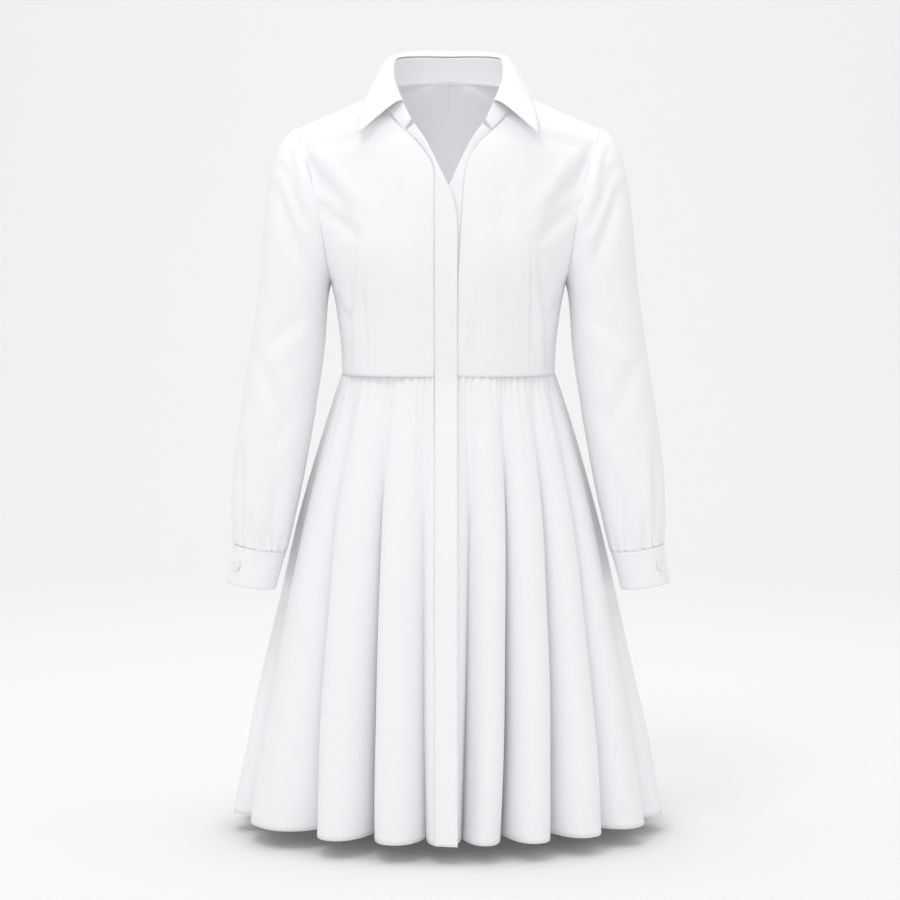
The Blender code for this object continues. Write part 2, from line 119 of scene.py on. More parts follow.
scene.collection.objects.link(floor)

# %% Lights
world = bpy.data.worlds.new("pale studio")
scene.world = world
world.use_nodes = True
world.node_tree.nodes["Background"].inputs["Color"].default_value = linear("#f8f8f9")
world.node_tree.nodes["Background"].inputs["Strength"].default_value = 0.83


def soft_light(name, place, aim, size, power):
    """A large area light that looks at a point."""
    data = bpy.data.lights.new(name, "AREA")
    data.size = size
    data.energy = power
    light = bpy.data.objects.new(name, data)
    light.location = place
    light.rotation_euler = (Vector(aim) - Vector(place)).to_track_quat("-Z", "Y").to_euler()
    scene.collection.objects.link(light)


soft_light("overhead", (-0.7, -1.5, 2.2), (0, 0, -0.5), 0.9, 14)
soft_light("low fill", (0, -2.4, -0.2), (0, 0, -0.9), 1.2, 3)
soft_light("backdrop", (0, 0.6, 2.6), (0, 3.2, -0.4), 2.5, 34)
glow = bpy.data.lights.new("light inside the neck", "POINT")
glow.energy = 0.13
glow.shadow_soft_size = 0.04
glow_lamp = bpy.data.objects.new("light inside the neck", glow)
glow_lamp.location = (0, -0.02, -0.14)
glow_lamp.visible_camera = False
scene.collection.objects.link(glow_lamp)
print("camera, floor and light are in place")

# %% [markdown]
# ## Materials
# Poplin is a fine plain weave: about 0.25 mm from thread to thread, with a slight rib across.
# It is matt with a faint sheen. A weave that fine is lost at this distance, so it is drawn
# at 0.9 mm. Polyester buttons are moulded and polished.

# %% Cotton poplin
THREAD_SPACING = 0.9 * MM        # the real one is 0.25 mm, drawn coarser so that it shows


def poplin_material(name, colour):
    """White cotton poplin with a plain weave, and slubs and slight rumples in its bump."""
    material, tree = new_material(name)
    place = add_node(tree, "ShaderNodeTexCoord").outputs["Object"]
    waves = []
    for direction in ("X", "Z"):
        waves.append(add_node(
            tree, "ShaderNodeTexWave", {"bands_direction": direction},
            {"Scale": 1 / THREAD_SPACING / 20 * math.pi * 2, "Distortion": 0.6, "Detail": 1.0},
            {"Vector": place}).outputs["Fac"])
    weave = add_node(tree, "ShaderNodeMath", {"operation": "ADD"},
                     links={0: waves[0], 1: waves[1]}).outputs[0]
    rumple = add_node(tree, "ShaderNodeTexNoise", inputs={"Scale": 38.0, "Detail": 3.0},
                      links={"Vector": place}).outputs["Fac"]
    slub = add_node(tree, "ShaderNodeTexNoise", inputs={"Scale": 600.0, "Detail": 2.0},
                    links={"Vector": place}).outputs["Fac"]
    fine = add_node(tree, "ShaderNodeBump", inputs={"Strength": 0.25, "Distance": 0.0001},
                    links={"Height": weave}).outputs[0]
    rough = add_node(tree, "ShaderNodeBump", inputs={"Strength": 0.35, "Distance": 0.0012},
                     links={"Height": rumple, "Normal": fine}).outputs[0]
    ramp = add_node(tree, "ShaderNodeMix", {"data_type": "RGBA"},
                    links={"Factor": slub})
    ramp.inputs[6].default_value = linear(colour)
    ramp.inputs[7].default_value = linear("#fbfbfc")
    shader = add_node(tree, "ShaderNodeBsdfPrincipled",
                      inputs={"Roughness": 0.82, "Sheen Weight": 0.15, "Sheen Roughness": 0.5,
                              "IOR": 1.46},
                      links={"Base Color": ramp.outputs[2], "Normal": rough})
    add_node(tree, "ShaderNodeOutputMaterial", links={"Surface": shader.outputs[0]})
    return material


poplin = poplin_material("white cotton poplin", "#f3f4f6")
thread = poplin_material("white cotton sewing thread", "#eceef1")

# %% Polished polyester
polyester, tree = new_material("polished white polyester")
cloud = add_node(tree, "ShaderNodeTexNoise", inputs={"Scale": 180.0, "Detail": 2.0},
                 links={"Vector": add_node(tree, "ShaderNodeTexCoord").outputs["Object"]})
tint = add_node(tree, "ShaderNodeMix", {"data_type": "RGBA"},
                links={"Factor": cloud.outputs["Fac"]})
tint.inputs[6].default_value = linear("#eeeeec")
tint.inputs[7].default_value = linear("#f8f8f6")
shader = add_node(tree, "ShaderNodeBsdfPrincipled", inputs={"Roughness": 0.22, "IOR": 1.54},
                  links={"Base Color": tint.outputs[2]})
add_node(tree, "ShaderNodeOutputMaterial", links={"Surface": shader.outputs[0]})
print("three materials are ready")

# %% [markdown]
# ## The form
# These sizes repeat those of the solid model, in millimetres, so the shells lie exactly
# where the solids do. Fine rows and columns then make smooth cloth of the same form.

# %% Geometry helpers
WAIST_Z = -370.0
HEM_Z = -941.0
PLACKET_STITCH_X = -17.5
PLACKET_FREE_X = 11.5
SEAM = 0.3
LAP = 0.8
CLOTH = 0.9                # the shells are thinner than the solids that they stand for


def vec(x, y, z):
    """A point or a direction as an array."""
    return np.array((x, y, z), dtype=float)


def unit(vector):
    """The direction of a vector."""
    return vector / np.linalg.norm(vector)


def smooth_rows(keys, values, at):
    """A smooth curve (Catmull-Rom) through values at keys, read at one place."""
    keys = np.asarray(keys, dtype=float)
    values = np.asarray(values, dtype=float)
    if values.ndim == 1:
        return float(smooth_rows(keys, values[:, None], at)[0])
    at = min(max(at, keys[0]), keys[-1])
    i = min(int(np.searchsorted(keys, at, side="right")) - 1, len(keys) - 2)
    span = keys[i + 1] - keys[i]
    t = (at - keys[i]) / span
    slope = (values[i + 1] - values[i]) / span
    before = slope if i == 0 else (values[i + 1] - values[i - 1]) / (keys[i + 1] - keys[i - 1])
    last = i + 2 >= len(keys)
    after = slope if last else (values[i + 2] - values[i]) / (keys[i + 2] - keys[i])
    t2, t3 = t * t, t * t * t
    return ((2 * t3 - 3 * t2 + 1) * values[i] + (t3 - 2 * t2 + t) * span * before
            + (3 * t2 - 2 * t3) * values[i + 1] + (t3 - t2) * span * after)


def bezier(a, b, c, d, t):
    """A point on the cubic from a to d with the handles b and c."""
    s = 1 - t
    return s * s * s * a + 3 * s * s * t * b + 3 * s * t * t * c + t * t * t * d


# %% Bodice form
Row = namedtuple("Row", "edge_x edge_y edge_z side_x side_y side_z turn full")

FRONT_ROWS = [
    Row(17.5, -104, -370.0, 138.0, 0, -370.0, 1.00, 0.60),
    Row(17.5, -110, -326.0, 140.0, 0, -326.0, 1.00, 0.60),
    Row(17.5, -116, -284.0, 146.0, 0, -280.0, 1.00, 0.60),
    Row(17.5, -119, -254.0, 151.0, 0, -254.0, 1.00, 0.60),
    Row(17.5, -119, -232.0, 152.5, -29, -242.0, 0.85, 0.55),
    Row(17.5, -117, -205.0, 155.5, -47, -219.0, 0.70, 0.50),
    Row(17.5, -113, -172.0, 160.0, -56, -190.0, 0.55, 0.45),
    Row(17.5, -108, -138.0, 167.0, -57, -158.0, 0.45, 0.42),
    Row(19.0, -100, -104.0, 176.0, -50, -123.0, 0.35, 0.38),
    Row(37.5, -88, -76.0, 183.5, -40, -99.0, 0.28, 0.36),
    Row(53.0, -76, -60.5, 188.0, -31, -83.0, 0.20, 0.34),
    Row(73.0, -62, -41.0, 191.5, -22, -71.0, 0.12, 0.34),
    Row(78.0, -32, -17.0, 194.5, -12, -61.0, 0.05, 0.34),
    Row(73.0, -3, -0.5, 196.0, -3, -54.0, 0.00, 0.34),
]
# The left front starts further over, beside the lower placket.
LEFT_EDGE_X = [8.0, 8.6, 9.4, 10.4, 11.6, 13.2, 15.6, 18.2, 22.5, 38.5, 54.0, 73.0, 78.0, 73.0]

BACK_ROWS = [
    Row(0, 94, -370.0, 138.0, 0, -370.0, 1.00, 0.60),
    Row(0, 100, -326.0, 140.0, 0, -326.0, 1.00, 0.60),
    Row(0, 106, -284.0, 146.0, 0, -280.0, 1.00, 0.60),
    Row(0, 109, -254.0, 151.0, 0, -254.0, 1.00, 0.60),
    Row(0, 111, -228.0, 153.0, 31, -241.0, 0.85, 0.55),
    Row(0, 112, -198.0, 157.0, 50, -217.0, 0.70, 0.50),
    Row(0, 111, -160.0, 162.5, 60, -185.0, 0.55, 0.46),
    Row(0, 107, -118.0, 169.5, 60, -151.0, 0.45, 0.42),
    Row(0, 99, -74.0, 178.0, 52, -119.0, 0.35, 0.40),
    Row(0, 85, -28.0, 184.5, 41, -96.0, 0.28, 0.38),
    Row(0, 67, 11.5, 188.5, 30, -80.5, 0.22, 0.38),
    Row(35.0, 60, 10.5, 191.5, 20, -69.5, 0.15, 0.36),
    Row(62.0, 36, 6.0, 194.5, 10, -60.5, 0.07, 0.34),
    Row(73.0, -0.8, 0.0, 196.0, -0.8, -54.0, 0.00, 0.34),
]

BUST_X, BUST_Z, BUST_FULL = 88.0, -212.0, 9.0      # fullest place of a front, and how full
BUST_ACROSS, BUST_DOWN = 46.0, 52.0


def bodice_point(row, t):
    """A point of one bodice row, t from 0 at the panel's edge to 1 at the side."""
    start = vec(row.edge_x, row.edge_y, row.edge_z)
    end = vec(row.side_x, row.side_y, row.side_z)
    across = end - start
    drop = vec(0, 0, across[2] / 3)
    first = start + vec(row.full * across[0], 0, 0) + drop
    second = end - vec(row.full * (1 - row.turn) * across[0], row.full * across[1], 0) - drop
    point = bezier(start, first, second, end, t)
    if row.edge_y < -3.5:
        bust = math.exp(-((point[0] - BUST_X) / BUST_ACROSS) ** 2
                        - ((point[2] - BUST_Z) / BUST_DOWN) ** 2)
        point += BUST_FULL * bust * vec(0.35, -0.94, 0)
    return point

# %% Skirt form
Ring = namedtuple("Ring", "z half_width front back")
SKIRT_RINGS = [
    Ring(-370.5, 138.0, 104.0, 94.0),
    Ring(-413.0, 153.0, 119.0, 108.0),
    Ring(-466.0, 170.0, 135.0, 125.0),
    Ring(-566.0, 198.0, 158.0, 150.0),
    Ring(-666.0, 221.5, 176.0, 170.0),
    Ring(-752.0, 242.0, 190.0, 185.0),
    Ring(-846.0, 263.0, 202.0, 198.0),
    Ring(HEM_Z, 282.0, 212.0, 210.0),
]
# A row for each valley between two folds: its direction at the waist and at the hem, in
# degrees from the front centre, and how deep it is at the hem.
Valley = namedtuple("Valley", "waist hem depth")
VALLEYS = [
    Valley(-98, -93, 34), Valley(-83, -75, 32), Valley(-61, -41, 60), Valley(-33, -22.4, 74),
    Valley(-12, -6.4, 44), Valley(11, 3.8, 46), Valley(30, 15.6, 70), Valley(50, 30.6, 64),
    Valley(67, 48.6, 46), Valley(84, 70, 32), Valley(99, 96, 36), Valley(114, 113, 58),
    Valley(129, 130, 66), Valley(144, 148, 58), Valley(159, 163, 68), Valley(176, 182, 56),
    Valley(192, 199, 70), Valley(208, 216, 60), Valley(225, 233, 64), Valley(243, 251, 46),
]
PLACKET_LOBE = 4          # the fold between valleys 4 and 5 carries the placket
SIDE_LEFT_LOBE = 9        # the fold that carries the left side seam
SIDE_SEAM_PLACE = 0.5     # the side seams run down the top of their folds
LOWER_SEAM_BACK = 1.4     # the lower placket stops this much short of the skirt's flank
VALLEY_PINCH = 0.9        # near 1 a valley is narrow and the fold beside it broad
WAIST_RIPPLE = 0.8        # depth of the gathers at the waist seam


def valley(index):
    """A valley of the ring, counted on past the last one."""
    turns, place = divmod(index, len(VALLEYS))
    v = VALLEYS[place]
    return v._replace(waist=v.waist + 360 * turns, hem=v.hem + 360 * turns)


def skirt_point(lobe, u, h):
    """A point of the skirt: u runs from 0 to 1 across a fold, h from the waist to the hem."""
    a, b = valley(lobe), valley(lobe + 1)
    spread = h ** 0.8
    start = a.waist + (a.hem - a.waist) * spread
    end = b.waist + (b.hem - b.waist) * spread
    pinch = VALLEY_PINCH * min(1.0, 0.35 + 2.2 * h)
    share = u - pinch * math.sin(2 * math.pi * u) / (2 * math.pi)
    angle = math.radians(start + (end - start) * share)
    z = WAIST_Z - 0.5 + (HEM_Z - WAIST_Z + 0.5) * h
    tops = [-ring.z for ring in SKIRT_RINGS]
    half, front, back = smooth_rows(tops, [ring[1:] for ring in SKIRT_RINGS], -z)
    deep = front if math.cos(angle) > 0 else back
    point = vec(half * math.sin(angle), -deep * math.cos(angle), z)
    inward = -unit(vec(math.sin(angle) / half, -math.cos(angle) / deep, 0))
    valley_depth = a.depth + (b.depth - a.depth) * u
    depth = WAIST_RIPPLE + (valley_depth - WAIST_RIPPLE) * h ** 0.8
    recess = depth * (0.5 * (1 + math.cos(2 * math.pi * u))) ** 1.15
    return point + recess * inward

def place_at_x(lobe, x, h):
    """Where across a fold near the centre front the cloth passes a given X."""
    low, high = 0.12, 0.88
    for _ in range(40):
        middle = (low + high) / 2
        if skirt_point(lobe, middle, h)[0] < x:
            low = middle
        else:
            high = middle
    return (low + high) / 2

# %% Placket, collar and sleeve form
Edge = namedtuple("Edge", "x y z")
UPPER_FREE = [
    Edge(11.5, -105, -370), Edge(11.5, -111, -326), Edge(11.5, -117, -284),
    Edge(11.5, -120, -254), Edge(11.5, -120.5, -232), Edge(11.7, -119, -205),
    Edge(11.2, -115, -172), Edge(3.8, -111, -140), Edge(-11.5, -103, -108),
    Edge(-30.0, -92, -73), Edge(-44.0, -80, -53),
]
LOWER_FREE = [
    Edge(-11.0, -101, -370), Edge(-11.0, -107, -326), Edge(-11.0, -113, -284),
    Edge(-11.0, -116, -254), Edge(-11.0, -116, -232), Edge(-10.5, -114.5, -205),
    Edge(-8.5, -111, -172), Edge(-3.0, -105, -140), Edge(11.5, -101, -108),
    Edge(30.0, -92, -73), Edge(44.0, -80, -53),
]

Station = namedtuple("Station", "neck roll crest edge")
COLLAR = [
    Station((0, 67, 12.0), (0, 62, 44), (0, 70, 58), (0, 86, 8)),
    Station((35, 60.5, 11.0), (32, 56, 44), (37, 64, 57), (47, 79, 5)),
    Station((62, 37, 6.5), (57, 36, 41), (64, 39, 51), (83, 50, 0)),
    Station((73.5, 8, 2.2), (68, 10, 34), (75, 9, 42), (101, 13, -4.5)),
    Station((78, -22, -9), (69, -17, 11), (76, -20, 18), (107, -25, -20)),
    Station((78, -46, -25), (63, -43, -9), (69, -50, -3), (112, -58, -44)),
    Station((70, -65.5, -42), (57, -61, -24), (60, -70, -20), (114, -78, -65)),
]
STAND_END = Station((54, -77, -59.0), (46, -78, -47), None, None)

def collar_row(name, at, stations):
    """A named point of the collar, read smoothly between its stations."""
    keys = list(range(len(stations)))
    return smooth_rows(keys, [getattr(s, name) for s in stations], at)

SleeveRing = namedtuple("SleeveRing", "x y z half_width half_depth")
SLEEVE_RINGS = [
    SleeveRing(201.5, -3, -272, 45.5, 60),
    SleeveRing(208.5, -9, -338, 47.5, 59),
    SleeveRing(219.5, -17, -410, 47.5, 57),
    SleeveRing(231.5, -27, -490, 46.0, 54),
    SleeveRing(239.0, -35, -548, 41.0, 49),
    SleeveRing(243.2, -40, -589, 34.5, 40.5),
]
CUFF_RINGS = [
    SleeveRing(243.3, -40, -591, 34.6, 40.6),
    SleeveRing(248.6, -43.5, -615, 33.0, 39.0),
    SleeveRing(253.8, -47, -639, 31.8, 38.0),
]
SLEEVE_LEAN = math.radians(9)     # the rings lie square to a sleeve that leans out

def ring_point(ring, angle, grow=0.0):
    """A point of a sleeve ring, from the outer side (0) round by the front (90 degrees)."""
    across = vec(math.cos(SLEEVE_LEAN), 0, math.sin(SLEEVE_LEAN))
    wide = (ring.half_width + grow) * math.copysign(abs(math.cos(angle)) ** 0.92, math.cos(angle))
    deep = (ring.half_depth + grow) * math.copysign(abs(math.sin(angle)) ** 0.92, math.sin(angle))
    return vec(ring.x, ring.y, ring.z) + wide * across + vec(0, -deep, 0)


def armhole_point(angle):
    """The armhole, from the shoulder (0) by the front (90 degrees) to the underarm and back."""
    front, back = FRONT_ROWS[3:], BACK_ROWS[3:]
    turn = angle % (2 * math.pi)
    rows = front if turn <= math.pi else back
    share = turn / math.pi if turn <= math.pi else (2 * math.pi - turn) / math.pi
    place = (1 - share) * (len(rows) - 1)
    keys = list(range(len(rows)))
    point = smooth_rows(keys, [(r.side_x, r.side_y, r.side_z) for r in rows], place)
    return point + vec(1.3, 0, 0.6 * math.cos(turn))


def cap_point(angle, t):
    """A point of the sleeve's cap, t from 0 at the armhole to 1 at the first ring."""
    start, end = armhole_point(angle), ring_point(SLEEVE_RINGS[0], angle)
    upper = 0.5 * (1 + math.cos(angle))
    leave = upper * vec(125, 0, -60) + (1 - upper) * vec(6, 0, -18)
    leave = leave + vec(0, -26 * math.sin(angle), 0)
    arrive = vec(0.12, -0.03, -1) * (20 + 210 * upper)
    t2, t3 = t * t, t * t * t
    return ((2 * t3 - 3 * t2 + 1) * start + (t3 - 2 * t2 + t) * leave
            + (3 * t2 - 2 * t3) * end + (t3 - t2) * arrive)

# %% [markdown]
# ## Creases, seams and cloth
# A crease is a soft trough or ridge along a short line on the cloth. It could be sculpted,
# but a table row for each keeps it easy to move. A sheet is made from a grid of points, and
# Solidify gives it its thickness.

# %% Creases and sheets
Crease = namedtuple("Crease", "x0 z0 x1 z1 width depth")
CREASE_STRENGTH = 1.45


def grid_normals(grid, closed=False):
    """Outward directions of a grid of points."""
    down = np.gradient(grid, axis=0)
    if closed:
        across = np.roll(grid, -1, axis=1) - np.roll(grid, 1, axis=1)
    else:
        across = np.gradient(grid, axis=1)
    normal = np.cross(down, across)
    length = np.linalg.norm(normal, axis=2, keepdims=True)
    return normal / np.maximum(length, 1e-9)


def creased(grid, creases, closed=False, front=True):
    """The grid with its creases pressed in, on its front or its back only."""
    normal = grid_normals(grid, closed)
    push = np.zeros(grid.shape[:2])
    facing = np.clip((-normal[:, :, 1] if front else normal[:, :, 1]) * 3 + 0.6, 0, 1)
    for c in creases:
        along = np.array((c.x1 - c.x0, c.z1 - c.z0))
        rx, rz = grid[:, :, 0] - c.x0, grid[:, :, 2] - c.z0
        place = (rx * along[0] + rz * along[1]) / (along @ along)
        off = (rx * along[1] - rz * along[0]) / np.linalg.norm(along)
        bend = off + 0.12 * c.width * np.sin(5 * place)
        ends = np.clip(np.sin(np.pi * np.clip(place, -0.05, 1.05)), 0, 1) ** 0.7
        trough = np.exp(-(bend / c.width) ** 2)
        shoulder = 0.55 * np.exp(-((bend - 1.7 * c.width) / (1.1 * c.width)) ** 2)
        push += c.depth * ends * (shoulder - trough)
    return grid + (CREASE_STRENGTH * push * facing)[:, :, None] * normal


def cloth_sheet(name, grid, nodes, closed=False, widest=1000.0):
    """A shell of cloth that replaces a solid and hides it, with its flat width measured."""
    rows, columns = grid.shape[:2]
    faces = []
    for r in range(rows - 1):
        for c in range(columns if closed else columns - 1):
            d = (c + 1) % columns
            if np.linalg.norm(grid[r, c] - grid[r, d]) > widest:
                continue           # the neck is open between the two halves of the back
            faces.append((r * columns + c, (r + 1) * columns + c,
                          (r + 1) * columns + d, r * columns + d))
    mesh = bpy.data.meshes.new(name)
    mesh.from_pydata([tuple(p * MM) for p in grid.reshape(-1, 3)], [], faces)
    body = bmesh.new()
    body.from_mesh(mesh)
    bmesh.ops.remove_doubles(body, verts=body.verts, dist=0.00003)
    body.to_mesh(mesh)
    body.free()
    mesh.update()
    mesh.shade_smooth()
    mesh.materials.append(poplin)
    piece = bpy.data.objects.new(name, mesh)
    scene.collection.objects.link(piece)
    thick = piece.modifiers.new("cloth", "SOLIDIFY")
    thick.thickness = CLOTH * MM
    thick.offset = -1
    width = max(np.linalg.norm(np.diff(row, axis=0), axis=1).sum() for row in grid) * MM
    if closed:
        width += np.linalg.norm(grid[:, 0] - grid[:, -1], axis=1).max() * MM
    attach(piece, "root")
    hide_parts(nodes)
    return piece


# %% Stitching
STITCH_LENGTH = 2.6
STITCH_GAP = 0.7
THREAD_RADIUS = 0.22


def stitch_run(name, lines):
    """Rows of machine stitches, as short thread bars laid along lines on the cloth."""
    points, faces = [], []
    for line in lines:
        line = np.asarray(line)
        steps = np.concatenate([[0], np.cumsum(np.linalg.norm(np.diff(line, axis=0), axis=1))])
        at = 0.5
        while at + STITCH_LENGTH < steps[-1]:
            ends = [np.array([np.interp(s, steps, line[:, k]) for k in range(3)])
                    for s in (at, at + STITCH_LENGTH)]
            along = unit(ends[1] - ends[0])
            side = unit(np.cross(along, vec(0.13, 0.7, 0.7)))
            up = np.cross(along, side)
            base = len(points)
            for end in ends:
                for k in range(4):
                    turn = math.pi / 2 * k
                    points.append((end + THREAD_RADIUS * (math.cos(turn) * side
                                                          + math.sin(turn) * up)) * MM)
            for k in range(4):
                faces.append((base + k, base + (k + 1) % 4, base + 4 + (k + 1) % 4, base + 4 + k))
            faces += [(base + 3, base + 2, base + 1, base), (base + 4, base + 5, base + 6, base + 7)]
            at += STITCH_LENGTH + STITCH_GAP
    mesh = bpy.data.meshes.new(name)
    mesh.from_pydata([tuple(p) for p in points], [], faces)
    mesh.materials.append(thread)
    piece = bpy.data.objects.new(name, mesh)
    scene.collection.objects.link(piece)
    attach(piece, "root")
    print(f"{name}: {len(faces) // 6} stitches")


def line_on(grid, row=None, column=None, lift=0.15):
    """A line of the grid, lifted off the cloth."""
    normal = grid_normals(grid)
    lifted = grid + lift * normal
    return lifted[row] if row is not None else lifted[:, column]


# %% [markdown]
# ## Bodice
# Each front is cut in one with a long dart under the bust, and pulls in soft diagonal folds
# towards the armhole. The back has the same quiet folds.

# %% Bodice pieces
BODICE_COLUMNS, BODICE_STEPS = 90, 130
NECK_OPENING = 12.0        # halves of the back further apart than this lie beside the neck
FRONT_CREASES = [
    Crease(178, -90, 118, -188, 11, 5.0), Crease(168, -145, 112, -205, 9, 4.2),
    Crease(185, -70, 160, -150, 7, 2.4), Crease(103, -196, 104, -372, 1.8, 1.6),
    Crease(113, -205, 132, -360, 6, 3.2), Crease(122, -250, 128, -372, 5, 2.4),
    Crease(60, -120, 80, -330, 16, 2.0), Crease(40, -250, 30, -372, 9, 1.4),
    Crease(142, -262, 120, -330, 5, 2.2),
]
BACK_CREASES = [
    Crease(176, -110, 110, -215, 11, 4.0), Crease(164, -165, 95, -240, 10, 3.4),
    Crease(70, -190, 72, -372, 1.8, 1.6), Crease(90, -215, 110, -372, 7, 2.6),
    Crease(30, -120, 24, -330, 16, 2.0), Crease(130, -255, 112, -350, 6, 2.2),
]


def fine_bodice(rows, creases, front):
    """Half a bodice with fine rows, from the shoulder down, with its creases."""
    keys = list(range(len(rows)))
    grid = []
    for at in np.linspace(len(rows) - 1, 0, BODICE_STEPS):
        row = Row(*smooth_rows(keys, [tuple(r) for r in rows], at))
        grid.append([bodice_point(row, t) for t in np.linspace(0, 1, BODICE_COLUMNS)])
    grid = np.array(grid)
    if front:
        grid[:, 0] += SEAM / 2 * np.array([unit(d) for d in grid[:, 1] - grid[:, 0]])
    grid[:, -1] -= SEAM / 2 * np.array([unit(d) for d in grid[:, -1] - grid[:, -2]])
    return creased(grid, creases, front=front)


def other_side(grid):
    """The mirror image of a grid, still facing out."""
    flipped = grid[:, ::-1].copy()
    flipped[:, :, 0] *= -1
    return flipped


right_rows = [r._replace(edge_x=-PLACKET_STITCH_X if i < 8 else r.edge_x)
              for i, r in enumerate(FRONT_ROWS)]
left_rows = [r._replace(edge_x=x) for x, r in zip(LEFT_EDGE_X, FRONT_ROWS)]
front_left = fine_bodice(left_rows, FRONT_CREASES, True)
wearer_right = [c._replace(x0=c.x0 + 3, z1=c.z1 + 5, depth=c.depth * 0.9) for c in FRONT_CREASES]
front_right = other_side(fine_bodice(right_rows, wearer_right, True))
cloth_sheet("bodice_front_left_shell", front_left, "bodice_front_left")
cloth_sheet("bodice_front_right_shell", front_right, "bodice_front_right")
back = fine_bodice(BACK_ROWS, BACK_CREASES, False)
at_centre = np.abs(back[:, 0, 0]) < 1.0
back[at_centre, 0, 0] = 0.0
# the back grid runs from the centre to the +X side, so it is turned to face out
back_full = np.concatenate([back[:, ::-1], other_side(back[:, ::-1])], axis=1)
cloth_sheet("bodice_back_shell", back_full, "bodice_back",
            widest=NECK_OPENING)

# %% [markdown]
# ## Skirt
# A straight length of cloth is gathered into the waist seam and falls in deep folds. The
# fine pleats at the seam fade within a hand's width into the broad folds of the solid model.

# %% Skirt pieces
FOLD_COLUMNS = 26
SKIRT_STEPS = 96
GATHER_DEPTH = 1.5
GATHERS_PER_FOLD = 5.0
TUCK = 3.0                 # how far a seam's hidden edge runs on behind its neighbour


def skirt_sheet(name, node, first, last, start_place, end_place):
    """One skirt panel with its gathers and slight rumples, its top row tucked up behind the waist
    seam.
    """
    grid = []
    for h in np.linspace(0, 1, SKIRT_STEPS) ** 1.15:
        begin, finish = start_place(h), end_place(h)
        places = [(first, begin + (1 - begin) * s) for s in np.linspace(0, 1, 14)[:-1]]
        for lobe in range(first + 1, last):
            places += [(lobe, s) for s in np.linspace(0, 1, FOLD_COLUMNS + 1)[:-1]]
        places += [(last, finish * s) for s in np.linspace(0, 1, 14)]
        line = []
        for lobe, u in places:
            point = skirt_point(lobe, u, h)
            out = unit(vec(point[0], point[1], 0))
            turn = lobe + u
            gather = math.sin(2 * math.pi * GATHERS_PER_FOLD * turn + 1.7 * math.sin(3.1 * turn))
            fade = math.exp(-h * (13 + 6 * math.sin(2.3 * turn + 1)))
            rumple = math.sin(5.3 * turn + 7 * h) * math.sin(2.1 * turn - 9 * h) * 1.6 * h
            line.append(point + out * (GATHER_DEPTH * gather * fade + rumple))
        grid.append(line)
    grid = np.array(grid)
    tucked = grid[0] * np.array((0.991, 0.991, 1.0)) + vec(0, 0, TUCK)
    grid = np.concatenate([tucked[None], grid])
    cloth_sheet(name, grid, node)
    return grid


side_right_lobe = len(VALLEYS)      # the first fold again, counted past the last one
skirt_left = skirt_sheet("skirt_front_left_shell", "skirt_front_left", PLACKET_LOBE, SIDE_LEFT_LOBE,
                         lambda h: place_at_x(PLACKET_LOBE, LEFT_EDGE_X[0], h),
                         lambda h: SIDE_SEAM_PLACE)
skirt_back = skirt_sheet("skirt_back_shell", "skirt_back", SIDE_LEFT_LOBE,
                         side_right_lobe,
                         lambda h: SIDE_SEAM_PLACE, lambda h: SIDE_SEAM_PLACE)
skirt_right = skirt_sheet("skirt_front_right_shell", "skirt_front_right", 0, PLACKET_LOBE,
                          lambda h: SIDE_SEAM_PLACE,
                          lambda h: place_at_x(PLACKET_LOBE, PLACKET_STITCH_X, h))

# %% [markdown]
# ## Plackets
# The upper placket is a long strip that hides the buttons. Above its top button it turns
# back and rolls away inside the neck, so its free edge curls.

# %% Placket pieces
def placket_sheet(name, node, stitched, free, proud, flip):
    """A strip from its stitched edge to its free edge, with a curl where the neck is open."""
    stitched, free = np.array(stitched), np.array(free)
    grid = []
    for k in range(len(stitched)):
        a, b = stitched[k], free[k]
        open_neck = min(1.0, max(0.0, (a[2] + 118) / 30))
        line = []
        for s in np.linspace(0, 1, 16):
            pucker = 0.35 * math.sin(a[2] / 7.0 + 2 * math.sin(a[2] / 41)) * (1 - s) ** 2
            ridge = 0.5 * math.exp(-((s - 0.06) / 0.05) ** 2)
            point = a + (b - a) * s
            line.append(point + vec(0, -proud - 0.8 * math.sin(math.pi * s) - pucker - ridge, 0))
        if open_neck > 0:
            inward = unit(b - a)
            for s in np.linspace(0, 1, 10)[1:]:
                turn = s * math.pi
                line.append(line[15] + open_neck * (3.0 * math.sin(turn) * inward
                            + vec(0, 3.4 * (1 - math.cos(turn)), 0) - 9 * s * s * inward))
        else:
            line += [line[15] + vec(0, 0.02 * i, 0) for i in range(1, 10)]
        grid.append(line)
    grid = np.array(grid)
    if flip:
        grid = grid[:, ::-1]
    cloth_sheet(name, grid, node)
    return grid


def up_the_front(edges, steps=110):
    """Fine points along an edge of the bodice, from the neck down."""
    keys = list(range(len(edges)))
    return [vec(*smooth_rows(keys, edges, at)) for at in np.linspace(len(edges) - 1, 0, steps)]


heights = np.linspace(0, 1, 130)[1:]
upper_stitched = up_the_front([(-r.edge_x, r.edge_y, r.edge_z) for r in right_rows[:11]])
upper_free = up_the_front([tuple(e) for e in UPPER_FREE])
lower_stitched = up_the_front([(r.edge_x, r.edge_y, r.edge_z) for r in left_rows[:11]])
lower_free = up_the_front([tuple(e) for e in LOWER_FREE])
for h in heights:
    upper_stitched.append(skirt_point(PLACKET_LOBE,
                                      place_at_x(PLACKET_LOBE, PLACKET_STITCH_X, h), h))
    crest = skirt_point(PLACKET_LOBE, 0.5, h)
    upper_free.append(vec(PLACKET_FREE_X, crest[1] - 1.0, crest[2]))
    sewn = skirt_point(PLACKET_LOBE, place_at_x(PLACKET_LOBE, LEFT_EDGE_X[0], h), h)
    lower_stitched.append(sewn - vec(LOWER_SEAM_BACK, 0, 0))
    lower_free.append(vec(-11.0, crest[1] + 3.0 + 5.0 * h, crest[2]))
upper = placket_sheet("placket_upper_shell", "placket_upper", upper_stitched, upper_free,
                      LAP, False)
